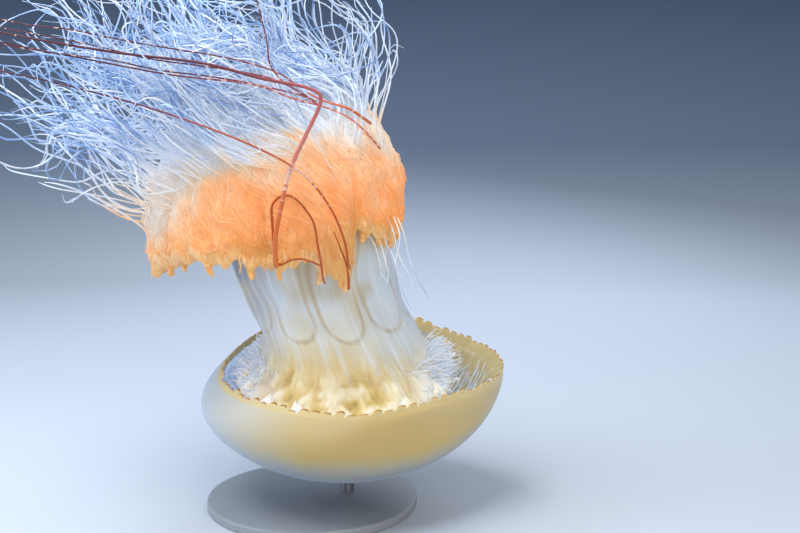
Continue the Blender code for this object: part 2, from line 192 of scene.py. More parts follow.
def arm_swell(points):
    """Soft unevenness of the arms' flesh."""
    out = points - np.array([LEAN, 0, 0.30])
    out /= np.linalg.norm(out, axis=-1, keepdims=True) + 1e-9
    swell = 0.0026 * lumps(points, 0.055, 3) + 0.0015 * lumps(points, 0.020, 4) + 0.0006 * lumps(points, 0.009, 9)
    return out * swell[..., None]


def arm_surface(angle, share):
    """Points on the arms' skin. share is about -0.13 at the fringe, 0 where the arms are widest and 1 at the top."""
    radius, z = crown(angle, math.pi / 2 * np.clip(share, 0, 1))
    below = np.clip(-share / 0.136, 0, 1)
    points = polar(angle, radius, z + (fringe_edge(angle) + 0.012 - z) * below, LEAN)
    return points + arm_swell(points)


def glow_at(points):
    """How orange the arms are here: 1 at the fringe, 0.5 where cream begins, 0 where all is bluish white."""
    x, z = points[..., 0], points[..., 2] + 0.010 * lumps(points, 0.05, 90)
    orange = np.interp(x, (-0.19, -0.165, -0.15, -0.13, -0.10, -0.07, -0.04, 0.01, 0.05, 0.10),
                       (0.292, 0.312, 0.327, 0.345, 0.360, 0.372, 0.379, 0.380, 0.366, 0.350))
    cream = np.interp(x, (-0.20, -0.178, -0.155, -0.13, -0.11, -0.08, -0.03, 0.01, 0.05, 0.10),
                      (0.350, 0.362, 0.370, 0.376, 0.385, 0.393, 0.404, 0.408, 0.398, 0.386))
    below = 0.5 + 0.5 * np.clip((orange - z) / 0.11, 0, 1)
    return np.where(z < orange, below, np.clip(0.5 - 0.35 * (z - orange) / (cream - orange), 0, 1))


def foot_reach(angle):
    """How far the yellow mass round the column's foot spreads into the bowl: furthest at the front."""
    return 0.110 + 0.027 * np.clip(np.cos(angle + 1.65), 0, 1) ** 0.7 + 0.003 * np.sin(5 * angle)


def foot_radius(angle, z):
    """The column spreads at its foot like the root of a tree."""
    spread = np.exp(-np.clip(z - FOOT_LOW, 0, None) / 0.017)
    return column_radius(angle, z) + (foot_reach(angle) - FOOT_RADIUS) * spread


def skin_point(stretch, t, angle):
    """A row of points of one stretch of the skin. t runs from 0 to 1 over the stretch."""
    if stretch == "bell":
        radius, z = bell_outside(math.radians(104) * t)
        return flared(polar(angle, radius + 0 * angle, z))
    if stretch == "margin":
        across = angle * LAPPETS / math.tau % 1 - 0.5
        number = np.floor(angle * LAPPETS / math.tau)
        scallop = 0.30 + 0.70 * np.sqrt(1 - (2 * across) ** 2 * 0.98)
        tall = 0.0058 * scallop * (1 + 0.25 * np.sin(number * 2.3) + 0.15 * np.sin(number * 5.1))
        up = t / 0.5 if t < 0.5 else (1 - t) / 0.5
        inward = 0.0 if t < 0.5 else 0.0030 * (1 - up) + 0.0006
        return flared(polar(angle, 0.1562 - inward - 0.55 * tall * up, RIM + 0.0004 + tall * up))
    if stretch == "bowl":
        turn = math.radians(92) * (1 - t)
        radius = FOOT_RADIUS + (0.150 - FOOT_RADIUS) * math.sin(turn)
        return flared(polar(angle, radius + 0 * angle, BOWL_FLOOR + 0.068 * (1 - math.cos(turn))))
    low = fringe_edge(angle)
    if stretch == "tuck":
        radius = FOOT_RADIUS + (foot_reach(angle) - FOOT_RADIUS) * math.sin(math.pi / 2 * t)
        return polar(angle, radius, BOWL_FLOOR + (FOOT_LOW - BOWL_FLOOR) * t**0.7)
    if stretch == "foot":
        z = FOOT_LOW + (WAIST - FOOT_LOW) * t**1.6
        return polar(angle, foot_radius(angle, z), z, lean_at(z))
    inner = column_radius(angle, 0.29) + 0.002
    outer = (arm_reach(angle) - COAT_DEPTH) * arm_lobe(angle, 0.0)
    if stretch == "column":
        z = WAIST + (low + 0.030 - WAIST) * t
        return polar(angle, column_radius(angle, z), z, lean_at(z))
    if stretch == "under":
        hang = 0.030 - 0.026 * t**0.8
        return polar(angle, inner + (outer - 0.010 - inner) * t, low + hang, LEAN)
    if stretch == "fringe":
        turn = math.pi * t
        rise = (0.004 if t < 0.5 else 0.012) * (1 - math.sin(turn))
        return polar(angle, outer - 0.005 - 0.005 * math.cos(turn), low + rise, LEAN)
    return arm_surface(angle, (t - 0.12) / 0.88 + 0 * angle)


bpy.ops.object.select_all(action="DESELECT")
total_rows = sum(ROWS.values())
bpy.ops.mesh.primitive_grid_add(x_subdivisions=COLUMNS, y_subdivisions=total_rows, size=1.0)
skin = bpy.context.object
skin.name = "skin"
flat = np.empty(3 * len(skin.data.vertices))
skin.data.vertices.foreach_get("co", flat)
flat = flat.reshape(-1, 3)
skin_angle = (flat[:, 0] + 0.5) * math.tau + math.pi / 2
skin_row = np.rint((flat[:, 1] + 0.5) * total_rows).astype(int)
stretch_of_row = [(name, i / count) for name, count in ROWS.items() for i in range(count)] + [("crown", 1.0)]
shaped = np.empty_like(flat)
for row, (stretch, t) in enumerate(stretch_of_row):
    here = skin_row == row
    shaped[here] = skin_point(stretch, t, skin_angle[here])

# Soft unevenness: the frilled foot most, the column a little, the bell hardly at all.
first = dict(zip(ROWS, np.cumsum([0, *ROWS.values()])))
part_share = np.array([t for _, t in stretch_of_row])[skin_row]
around = shaped * np.array([1, 1, 0])
around /= np.linalg.norm(around, axis=1, keepdims=True) + 1e-9
on_foot = (skin_row >= first["tuck"]) & (skin_row < first["column"])
on_column = (skin_row >= first["foot"]) & (skin_row < first["under"])
frilly = np.where(on_foot, 1 - smooth(0.125, 0.170, shaped[:, 2]), 0)
squashed = shaped * np.array([1.0, 1.0, 0.45])
ruffle = 0.75 * lumps(squashed, 0.030, 5) + 0.35 * np.abs(lumps(squashed, 0.014, 6)) + 0.12 * lumps(shaped, 0.006, 7)
shaped += around * (0.0012 * lumps(shaped, 0.045, 8) * on_column + 0.0044 * ruffle * frilly)[:, None]
shaped[:, 2] += 0.0030 * ruffle * frilly

# What the finishes read: how far up its stretch a point is, and where lines and spots of colour lie.
on_margin = (skin_row >= first["margin"]) & (skin_row < first["bowl"])
lappet_up = np.where(on_margin, 1 - np.abs(part_share - 0.5) / 0.5, 0)
twisted = np.degrees(skin_angle + 0.28 * np.sin(skin_angle + math.radians(92)))
off_fold = np.abs((twisted + 92) % 45 - 22.5)  # degrees off the middle of the nearest U-shaped fold
for name, values in (
    ("share", np.where(skin_row < first["margin"], part_share, 1.0)),
    ("lappet_across", np.abs(skin_angle * LAPPETS / math.tau % 1 - 0.5)),
    ("lappet_up", lappet_up),
    ("off_fold", off_fold),
    ("ruffle", ruffle * frilly),
    ("height", shaped[:, 2]),
    ("glow", glow_at(shaped)),
    ("hem", 1 - smooth(0.0, 0.030, shaped[:, 2] - fringe_edge(skin_angle))),
    ("side", shaped[:, 0]),
    ("round", np.degrees((skin_angle + math.pi) % math.tau - math.pi)),
):
    skin.data.attributes.new(name, "FLOAT", "POINT").data.foreach_set("value", values.astype(np.float32))
skin.data.vertices.foreach_set("co", placed(shaped).ravel())

face_row = np.array([min(skin_row[v] for v in face.vertices) for face in skin.data.polygons])
slot_of = dict(zip(ROWS, (0, 1, 2, 3, 3, 3, 4, 4, 4)))  # bell, margin, bowl, column and arms
slots = np.array([slot_of[stretch] for stretch, _ in stretch_of_row])[face_row]
for _ in range(5):
    skin.data.materials.append(None)
skin.data.polygons.foreach_set("material_index", slots)
bpy.ops.object.mode_set(mode="EDIT")
bpy.ops.mesh.select_all(action="SELECT")
bpy.ops.mesh.remove_doubles(threshold=0.00001)
bpy.ops.mesh.normals_make_consistent(inside=False)
bpy.ops.object.mode_set(mode="OBJECT")
bpy.ops.object.shade_smooth()


def paint(colour):
    """A linear colour from its sRGB hex value."""
    values = [int(colour[i : i + 2], 16) / 255 for i in (1, 3, 5)]
    return (*(v / 12.92 if v <= 0.04045 else ((v + 0.055) / 1.055) ** 2.4 for v in values), 1.0)


def feed(socket, value):
    """Sets a node's input: to a value, to the colour of a hex, or joined to another node's output."""
    if isinstance(value, bpy.types.NodeSocket):
        socket.id_data.links.new(value, socket)
    else:
        socket.default_value = paint(value) if isinstance(value, str) else value


def shade(made, **inputs):
    """Sets inputs of the material's one shader."""
    for name, value in inputs.items():
        feed(made.node_tree.nodes["Principled BSDF"].inputs[name.replace("_", " ")], value)


def material(name, base=None, **constants):
    """A material with its constant values set, and the function that adds nodes to it."""
    made = bpy.data.materials.new(name)
    made.use_nodes = True
    shade(made, **{**(base or {}), **constants})

    def add(kind, *links, stops=None, out=None, **settings):
        """Adds a node and returns its first output, or the one named.

        kind is its type, and for some types a second word says what it does or works on. links go to its
        inputs from the top down. stops fill a colour ramp.
        """
        kind, _, does = kind.partition(" ")
        node = made.node_tree.nodes.new("ShaderNode" + kind)
        if does:
            setattr(node, "data_type" if kind == "Mix" else "operation", does)
        for key, value in settings.items():
            setattr(node, key, value)
        for socket, value in zip([socket for socket in node.inputs if socket.enabled], links):
            feed(socket, value)
        if stops:
            elements = node.color_ramp.elements
            while len(elements) < len(stops):
                elements.new(0.5)
            for element, (position, colour) in zip(elements, stops):
                element.position = position
                element.color = paint(colour)
        return node.outputs[out] if out else next(socket for socket in node.outputs if socket.enabled)

    return made, add


GEL = {  # thick clear jelly with milk in it: light goes in, scatters for a centimetre or two, and comes out
    "Subsurface_Weight": 1.0, "Subsurface_Radius": (1.0, 0.85, 0.65), "Subsurface_Scale": 0.012,
    "Roughness": 0.38, "IOR": 1.34,
}

# Bell jelly: creamy yellow where it is thick, and bluish and clearer over the tip, where it is also painted darker as
# shade on the underside. Down current its side is painted a pale cool white: a painted rim light.
bell_jelly, add = material("bell jelly", GEL, Subsurface_Scale=0.018, Sheen_Weight=0.6,
                           Sheen_Roughness=0.25, Sheen_Tint="#cfe0ff")
share, side = (add("Attribute", out="Fac", attribute_name=name) for name in ("share", "side"))
cloud = add("TexNoise", add("TexCoord", out="Object"), 13.0, 2.0)
drift = add("MapRange", cloud, 0.3, 0.7, -0.04, 0.04)
# The low stops of the ramp are a dark blue-grey: painted shade on the underside, over the jelly's own bluish tone.
upward = add("ValToRGB", add("Math ADD", share, drift), stops=[
    (0.0, "#7b889a"), (0.56, "#949a9f"), (0.69, "#adaa9a"), (0.79, "#cab275"), (0.90, "#ccb479"), (1.0, "#ccba8c"),
])
# Painted rim light: the down-current side is mixed towards a pale cool blue-white.
left = add("MapRange", side, -0.035, -0.165)
painted_left_side = add("Mix RGBA", left, upward, "#b8c4cb")
right = add("MapRange", side, 0.08, 0.19, 0.0, 0.6)
both = add("Mix RGBA", right, painted_left_side, "#cbc2a6")
shade(bell_jelly, Base_Color=both)

# Scalloped margin: the same jelly, thin, with a small brown arc of pigment on each lappet.
margin_jelly, add = material("margin jelly with brown pigment", GEL, Subsurface_Scale=0.004)
across, up = (add("Attribute", out="Fac", attribute_name=name) for name in ("lappet_across", "lappet_up"))
on_edge = add("MapRange", up, 0.74, 0.98)
in_middle = add("MapRange", across, 0.40, 0.30)
spot = add("Math MULTIPLY", on_edge, in_middle)
tone = add("ValToRGB", spot, stops=[(0.15, "#d2c292"), (0.5, "#b8864c"), (0.9, "#84501f")])
shade(margin_jelly, Base_Color=tone)

# Inside of the bowl: clear jelly with a milky mottle, bluish down current and creamy in the drawn-out lip. A
# little emission stands in for the light that comes through its wall, most down current.
bowl_jelly, add = material("bowl jelly with canals", GEL, Emission_Strength=0.30)
side = add("Attribute", out="Fac", attribute_name="side")
# The deeper blue stop at 0.60 paints a shadow on the wall beside the foot, towards the drawn-out lip.
wall = add("ValToRGB", add("MapRange", side, -0.15, 0.17), stops=[
    (0.0, "#b9cdea"), (0.35, "#c2d0e2"), (0.60, "#a6b9d6"), (0.70, "#b9c6d6"), (0.81, "#d6cba6"), (1.0, "#cfbc86"),
])
mottle = add("TexNoise", add("TexCoord", out="Object"), 90.0, 3.0)
milk = add("MapRange", mottle, 0.5, 0.75, 0.0, 0.6)
milky = add("Mix RGBA", milk, wall, "#f1f5fb")
lee = add("MapRange", side, 0.10, -0.10)
lit_through = add("Mix RGBA", lee, "#3a3428", milky)
shade(bowl_jelly, Base_Color=milky, Emission_Color=lit_through)

# Column: glassy, bluish white jelly over a custard-yellow foot, with faint lengthwise streaks of muscle. Painted
# shade darkens its left side and its top, under the fringe.
column_jelly, add = material("column jelly", GEL, Sheen_Weight=0.25, Sheen_Roughness=0.35,
                             Sheen_Tint="#dfe9ff")
height, side, turn, ruffled, off_fold = (
    add("Attribute", out="Fac", attribute_name=name)
    for name in ("height", "side", "round", "ruffle", "off_fold")
)
where = add("TexCoord", out="Object")
flow = add("CombineXYZ", add("Math MULTIPLY", turn, 0.22), add("Math MULTIPLY", height, 9.0))
muscle = add("TexNoise", flow, 1.0, 3.0)
wander = add("MapRange", muscle, 0.3, 0.7, -0.008, 0.008)
wavering = add("Math ADD", height, wander)
# The ramp's top stops turn grey and then tan: painted shade at the top of the column, under the arms' fringe.
upward = add("ValToRGB", add("MapRange", wavering, 0.10, 0.30), stops=[
    (0.04, "#e3c06f"), (0.20, "#ecd494"), (0.31, "#eee1bd"), (0.42, "#ecebdf"), (0.62, "#dde5ea"), (0.84, "#cfd3cf"),
    (0.97, "#beb297"),
])
# Painted shade: the left side is mixed towards a darker blue-grey.
left = add("MapRange", side, -0.055, -0.110)
painted_left_side = add("Mix RGBA", left, upward, "#8d97a6")
right = add("MapRange", side, 0.0, 0.055, 0.0, 0.8)
both = add("Mix RGBA", right, painted_left_side, "#d6e0e8")
patch = add("MapRange", add("TexNoise", where, 17.0, 1.0), 0.46, 0.6)
high = add("MapRange", height, 0.18, 0.23, 0.0, 0.8)
tanned = add("Math MULTIPLY", high, patch)
beige = add("Mix RGBA", tanned, both, "#cfc09a")
streak = add("MapRange", muscle, 0.48, 0.75, 0.0, 0.5)
streaked = add("Mix RGBA", streak, beige, "#f2f7fd")

# A tan line runs round each fold between the roots of the arms: straight down both sides, in a half circle below.
below = add("Math MAXIMUM", add("Math SUBTRACT", 0.200, height), 0.0)
drop = add("Math MULTIPLY", below, 760.0)
from_fold = add("VectorMath LENGTH", add("CombineXYZ", off_fold, drop))
fold_width = add("MapRange", add("TexNoise", where, 20.0, 0.0), 0.0, 1.0, 13.5, 22.5)
off_line = add("Math SUBTRACT", from_fold, fold_width)
line = add("MapRange", add("Math ABSOLUTE", off_line), 3.4, 0.4, interpolation_type="SMOOTHSTEP")
faint = add("MapRange", muscle, 0.35, 0.65, 0.60, 0.25)
fading = add("Math MULTIPLY", line, faint)
lined = add("Mix RGBA", fading, streaked, "#c3ae86")

# The foot's frills are painted deeper yellow in their folds, as shade there, and pale on their edges, and whitish
# at both sides.
frilled = add("ValToRGB", add("MapRange", ruffled, -0.9, 0.9), stops=[
    (0.1, "#dcc17e"), (0.40, "#e7cf8c"), (0.62, "#eddcab"), (0.88, "#f2e8cc"),
])
sides = add("Math ADD", add("MapRange", side, -0.055, -0.105), add("MapRange", side, 0.055, 0.100))
pale = add("Mix RGBA", sides, frilled, "#f1f2f0")
on_foot = add("MapRange", wavering, 0.160, 0.130)
whole = add("Mix RGBA", on_foot, lined, pale)
shade(column_jelly, Base_Color=whole)

# Flesh of the arms: glowing peach, cream above and a clearer yellow at the hem, full of fine fibres that lean
# with the current. It lets so much light through that it seems lit from inside: its emission paints that glow in.
GLOW = [
    (0.0, "#cddbf2"), (0.15, "#dde3ec"), (0.30, "#e5ddd4"), (0.42, "#ecd6bd"), (0.52, "#f5ca9e"), (0.63, "#fcc083"),
    (0.76, "#fab168"), (0.88, "#e9a75a"), (1.0, "#dca656"),
]
HEM_COLOUR = "#dfb06b"
arm_flesh, add = material("arm flesh", GEL, Subsurface_Weight=0.4, Subsurface_Scale=0.003, Sheen_Weight=0.4,
                          Sheen_Roughness=0.4, Sheen_Tint="#ffe9d2", Emission_Strength=0.16)
height, turn, glow, hem = (
    add("Attribute", out="Fac", attribute_name=name) for name in ("height", "round", "glow", "hem")
)
slow = add("TexNoise", add("TexCoord", out="Object"), 16.0, 2.0)
leaning = add("Math SINE", add("Math MULTIPLY", turn, math.pi / 180))
risen = add("Math MULTIPLY", height, 110.0)
carried = add("Math MULTIPLY", leaning, risen)
bent = add("MapRange", slow, 0.0, 1.0, -9.0, 9.0)
across = add("Math ADD", add("Math SUBTRACT", turn, carried), bent)
fibres = add("CombineXYZ", across, add("Math MULTIPLY", height, 26.0))
fibre = add("TexNoise", fibres, 1.7, 3.0, 0.7)
cloudy = add("MapRange", slow, 0.3, 0.7, -0.07, 0.07)
upward = add("ValToRGB", add("Math ADD", glow, cloudy), stops=GLOW)
clear = add("Math MULTIPLY", hem, 0.7)
hemmed = add("Mix RGBA", clear, upward, HEM_COLOUR)
light_fibre = add("MapRange", fibre, 0.50, 0.66, 0.0, 0.6)
lighter = add("Mix RGBA", light_fibre, hemmed, "#ffe2bd")
deep_enough = add("MapRange", glow, 0.4, 0.7, 0.0, 0.45)
dark_fibre = add("Math MULTIPLY", deep_enough, add("MapRange", fibre, 0.48, 0.34))
darker = add("Mix RGBA", dark_fibre, lighter, "#ec9248")
ribbed = add("Bump", 0.5, 0.0012, 0.1, fibre)
shade(arm_flesh, Base_Color=darker, Emission_Color=darker, Normal=ribbed)

for slot, finish in enumerate((bell_jelly, margin_jelly, bowl_jelly, column_jelly, arm_flesh)):
    skin.data.materials[slot] = finish
EIGHTS = range(1, 9)
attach(skin, "root")
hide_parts("bell", "column", *[f"lappets_{i}" for i in EIGHTS], *[f"arm_{i}" for i in EIGHTS])


# ---------------------------------------------------------------- threads
# All that is hair-like on the animal is a soft, milky tube of jelly a millimetre or two thick: canals,
# mouthlets, filaments. Each grows out of the skin and lies the way the water carries it.


def unit(v):
    return v / (np.linalg.norm(v, axis=-1, keepdims=True) + 1e-12)


def tubes(name, path, radii, sides, tones, patch):
    """One mesh of closed tapering tubes along the routes, with what their finish reads and their UV patches."""
    count, rings, _ = path.shape
    along = unit(np.gradient(path, axis=1))
    normal = unit(np.cross(along[:, 0], np.array([0.31, 0.52, 0.79])))
    sideways = []
    for i in range(rings):
        normal = unit(normal - (normal * along[:, i]).sum(axis=1, keepdims=True) * along[:, i])
        sideways.append(normal)
    a = np.stack(sideways, axis=1)
    b = np.cross(along, a)
    turns = (math.tau * np.arange(sides) / sides)[None, None, :, None]
    rim = a[:, :, None, :] * np.cos(turns) + b[:, :, None, :] * np.sin(turns)
    points = placed((path[:, :, None, :] + rim * radii[:, :, None, None]).reshape(-1, 3))
    number = np.arange(count * rings * sides).reshape(count, rings, sides)
    low, high = number[:, :-1], number[:, 1:]
    walls = np.stack([low, np.roll(low, -1, axis=2), np.roll(high, -1, axis=2), high], axis=-1).reshape(-1, 4)
    ends = np.concatenate([number[:, 0, ::-1], number[:, -1]])
    corners = np.concatenate([walls.ravel(), ends.ravel()])
    sizes = np.concatenate([np.full(len(walls), 4), np.full(len(ends), sides)])
    mesh = bpy.data.meshes.new(name)
    mesh.vertices.add(len(points))
    mesh.vertices.foreach_set("co", points.astype(np.float32).ravel())
    mesh.loops.add(len(corners))
    mesh.loops.foreach_set("vertex_index", corners.astype(np.int32))
    mesh.polygons.add(len(sizes))
    mesh.polygons.foreach_set("loop_start", np.concatenate([[0], np.cumsum(sizes)[:-1]]).astype(np.int32))
    mesh.polygons.foreach_set("loop_total", sizes.astype(np.int32))
    mesh.update(calc_edges=True)
    t = np.linspace(0, 1, rings)[None, :, None]
    u = patch[0][:, None, None] + 0.003 * (np.arange(sides)[None, None, :] / sides - 0.5) + 0 * t
    v = patch[1][:, None, None] + 0.003 * (t - 0.5) + 0 * u
    spots = np.stack([u, v], axis=-1).reshape(-1, 2)
    mesh.uv_layers.new(name="OFBake").data.foreach_set("uv", spots[corners].astype(np.float32).ravel())
    for key, values in tones.items():
        whole = np.broadcast_to(np.broadcast_to(values, (count, rings))[..., None], (count, rings, sides)).reshape(-1)
        mesh.attributes.new(key, "FLOAT", "POINT").data.foreach_set("value", whole.astype(np.float32))
    mesh.shade_smooth()
    made = bpy.data.objects.new(name, mesh)
    bpy.context.scene.collection.objects.link(made)
    return made


def skin_patch(angle, share):
    """Where a thread's colours lie on the unwrapped skin: round it, and up it."""
    return (angle + math.pi) % math.tau / math.tau * 0.99 + 0.005, 0.02 + 0.96 * np.clip(share, 0, 1)


def tapered(thick, t):
    return thick[:, None] * (1 - 0.3 * t) * np.clip((1.0 - t) / 0.08, 0.45, 1)


def eddy(points, size, seed):
    """A slow random swirl that neighbouring threads share, so that they drift in locks."""
    return np.stack([lumps(points, size, seed + i) for i in range(3)], axis=-1)


# ---------------------------------------------------------------- inside the bowl
# Milky canals run up the bell's inner wall. Round the column's foot stand the scapulets, small mouths in
# eight pairs, whose thin ruffled edges and white mouthlets hide the stomach under them.

own = np.random.default_rng(5)
count = 170
angle = np.linspace(-math.pi, math.pi, count, endpoint=False) + own.uniform(-0.015, 0.015, count)
t = np.linspace(0, 1, 15)[None, :]
start, stop = own.uniform(0.15, 0.45, count)[:, None], own.uniform(0.72, 0.98, count)[:, None]
stout = 1 + 0.7 * (np.abs(angle + 0.2) < 0.7)  # thicker in the drawn-out lip
turn = math.radians(92) * (start + (stop - start) * t)
sway = angle[:, None] + 0.05 * np.sin(7 * turn + own.uniform(0, math.tau, count)[:, None]) * t
wall = flared(polar(sway, 0.0872 + 0.062 * np.sin(turn), 0.0455 + 0.068 * (1 - np.cos(turn))))
canals = tubes("bowl_canals", wall, tapered(stout * own.uniform(0.0005, 0.0010, count), t), 5,
               {"warm": 0, "far": 0.2, "glow": 0, "hem": 0, "tint_and_shade": 0.5}, skin_patch(angle, 0.3 + 0 * angle))

# The scapulets' mouthlets: a curly tuft down current, a spiky one in the lip, and a few at the back.
FRONT = -92  # degrees round the axis, towards the viewer
count = 850
lot = own.uniform(0, 1, count)
angle = np.where(lot < 0.55, 184 + 26 * own.normal(size=count),
                 np.where(lot < 0.85, -14 + 18 * own.normal(size=count), 90 + 35 * own.normal(size=count)))
spiky = ((lot >= 0.55) & (lot < 0.85))[:, None]
angle = np.radians(np.where(np.abs((angle - FRONT + 180) % 360 - 180) < 42, 90, angle))  # none hide the front
z = FOOT_LOW + 0.002 + 0.022 * own.uniform(0, 1, count) ** 1.6
root = polar(angle, foot_radius(angle, z) - 0.001, z, lean_at(z))
size = own.uniform(0.007, 0.018, count) * np.where(spiky[:, 0], 1.35, 1.0)
out = unit(root * np.array([1, 1, 0]))
way = unit(out * own.uniform(0.5, 1.2, (count, 1)) + np.array([0, 0, 0.75])
           + np.where(spiky, 0.25, 0.5) * own.normal(size=(count, 3)))
path = [root]
for _ in range(10):
    way = unit(way + np.where(spiky, 0.08, 0.26) * own.normal(size=(count, 3)) + 0.06 * out)
    step = path[-1] + way * (size / 10)[:, None]
    step[:, 2] = np.minimum(step[:, 2], 0.150)
    path.append(step)
t = np.linspace(0, 1, 11)[None, :]
# A high tint, from 0.5 to 1, paints these mouthlets whiter, as threads in full light.
ruffles = tubes("scapulet_mouthlets", np.stack(path, axis=1), tapered(own.uniform(0.0004, 0.0008, count), t), 4, {
    "warm": 0, "far": 0.25, "glow": 0, "hem": 0, "tint_and_shade": own.uniform(0.5, 1, count)[:, None],
}, skin_patch(angle, (z - 0.11) / 0.04))

# The scapulets' thin edges stand on the foot like draped peaks of cloth, pleated, half a millimetre thick.
leaves = []
for number, degrees in enumerate((
    -146, -38, -20, -4, 12, 28, 45, 63, 80, 97, 114, 131, 148, 165, 183, 200, -126, -108, -88, -60,
)):
    middle = math.radians(degrees)
    wide, tall = own.uniform(0.018, 0.028), own.uniform(0.010, 0.017)
    if number > 15:  # at the front only single peaks stand out
        wide, tall = 0.024, own.uniform(0.016, 0.021)
    z = own.uniform(0.111, 0.117)
    base = polar(middle, foot_radius(np.array(middle), np.array(z)) - 0.006, z)
    side = np.array([-math.sin(middle), math.cos(middle), 0.0])
    back = np.array([math.cos(middle), math.sin(middle), 0.0])
    lean = own.uniform(-0.35, 0.35)
    bpy.ops.object.select_all(action="DESELECT")
    bpy.ops.mesh.primitive_grid_add(x_subdivisions=36, y_subdivisions=9, size=1.0)
    leaf = bpy.context.object
    for vertex in leaf.data.vertices:
        x, y = vertex.co.x, vertex.co.y + 0.5
        turn = x * math.pi * 1.05
        pleat = 1 + 0.13 * math.sin(11 * turn + number) + 0.07 * math.sin(23 * turn)
        bulge = 0.5 * wide * (1.08 - y) ** 0.75 * pleat
        rise = tall * y * (1 - 0.12 * abs(turn)) + 0.0014 * y * math.sin(9 * turn + 2 * number)
        point = base + side * (bulge * math.sin(turn) + lean * tall * y) + back * bulge * 0.7 * math.cos(turn)
        point = point + np.array([0, 0, rise]) - back * 0.006 * y * y
        vertex.co = placed(point[None])[0]
    thick = leaf.modifiers.new("thickness", "SOLIDIFY")
    thick.thickness = 0.0007
    bpy.ops.object.modifier_apply(modifier="thickness")
    leaves.append(leaf)
bpy.ops.object.select_all(action="DESELECT")
for leaf in leaves:
    leaf.select_set(True)
bpy.context.view_layer.objects.active = leaves[0]
bpy.ops.object.join()
leaves = bpy.context.object
leaves.name = "scapulet_leaves"
bpy.ops.object.origin_set(type="ORIGIN_CURSOR")
bpy.ops.object.shade_smooth()

# Frill jelly: white to cream, thin enough to glow; a little emission paints that glow in.
frill_jelly, add = material("frill jelly", Subsurface_Weight=0.3, Subsurface_Radius=(1.0, 0.9, 0.75),
                            Subsurface_Scale=0.002, Roughness=0.4, IOR=1.34, Emission_Strength=0.06)
milk = add("TexNoise", add("TexCoord", out="Object"), 60.0, 3.0)
tone = add("ValToRGB", milk, stops=[(0.35, "#f5e4b8"), (0.5, "#fbf4e4"), (0.65, "#ffffff")])
shade(frill_jelly, Base_Color=tone, Emission_Color=tone)
leaves.data.materials.append(frill_jelly)

# Thread jelly: clear threads full of milk, cream at the root, white where they lie thick and blue where they thin
# out, the blue partly painted shade; one by one some are painted a deeper blue as shade and some white as full light.
# Near the arms they take the arms' own colours, and their emission paints in a glow, strongest near the arms.
thread_jelly, add = material("thread jelly", Roughness=0.45, IOR=1.34, Sheen_Weight=0.4,
                             Sheen_Roughness=0.5, Emission_Strength=0.24)
warm, glow, hem, far, tint_and_shade = (
    add("Attribute", out="Fac", attribute_name=name) for name in ("warm", "glow", "hem", "far", "tint_and_shade")
)
# Cream at the root is how the threads look there and also stands in for warm light thrown up from the arms; the blue
# towards the tips is partly painted shade.
cold = add("ValToRGB", far, stops=[
    (0.0, "#fdf3e6"), (0.08, "#f3f4f5"), (0.25, "#d6e6fa"), (0.6, "#b2cff2"), (1.0, "#9abde8"),
])
# Painted shade and light: a low tint paints a thread deep blue, as in shade, and a high tint paints it white, as in
# full light.
deep = add("MapRange", tint_and_shade, 0.42, 0.08, 0.0, 0.85)
painted_shade = add("Math MULTIPLY", deep, add("MapRange", far, 0.05, 0.3))
blue = add("Mix RGBA", painted_shade, cold, "#5d8ac6")
painted_light = add("MapRange", tint_and_shade, 0.55, 0.95, 0.0, 0.85)
lit = add("Mix RGBA", painted_light, blue, "#ffffff")
varied = add("MapRange", tint_and_shade, 0.0, 1.0, 0.07, -0.11)
hot = add("ValToRGB", add("Math ADD", glow, varied), stops=GLOW)
clear = add("Math MULTIPLY", hem, 0.7)
hemmed = add("Mix RGBA", clear, hot, HEM_COLOUR)
whole = add("Mix RGBA", warm, lit, hemmed)
# Painted glow: an emission, full on the warm threads and a fifth as strong elsewhere.
painted_glow = add("Mix RGBA", add("MapRange", warm, 0.0, 1.0, 0.2), "#000000", whole)
shade(thread_jelly, Base_Color=whole, Emission_Color=painted_glow)

for piece in (canals, ruffles):
    piece.data.materials.append(thread_jelly)
for piece in (canals, ruffles, leaves):
    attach(piece, "root")
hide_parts(*[f"scapulets_{i}" for i in EIGHTS])


# ---------------------------------------------------------------- filaments and mouthlets of the arms
# Short threads, the mouthlets, lie along the arms like wet fur, and at the fringe they hang in soft fingers.
# Long filaments trail away in the current, in loose locks that cross each other.


def current(p):
    """Which way the water carries a thread here: up along the arms, then away with the current."""
    x, y, z = p[..., 0] - LEAN, p[..., 1], p[..., 2]
    out = np.stack([x, y, 0 * z], axis=-1)
    reach = np.maximum(np.linalg.norm(out, axis=-1, keepdims=True), 0.08)
    rising = unit(np.array([-0.25, 0, 1.0]) + 0.22 * out / reach)
    rise = np.radians(33 + 14 * smooth(-0.06, 0.08, p[..., 0]))
    away = unit(np.stack([-np.cos(rise), 0.04 + 0.35 * y, np.sin(rise)], axis=-1))
    start = 0.35 + np.where(x < 0, 1.15, 0.45) * x
    share = smooth(start, start + 0.13, z)[..., None]
    return unit(rising * (1 - share) + away * share)


ROOM_LOW, ROOM_HIGH = (np.array(corner) for corner in cad_box)
ARM_CENTRE = np.array([LEAN, 0, 0.29])
ROOT_DEPTH = 0.0015  # every thread starts this far under the skin


def off_arms(points):
    """Away from the middle of the arms, and a little upwards."""
    return unit(points - ARM_CENTRE + np.array([0, 0, 0.04]))


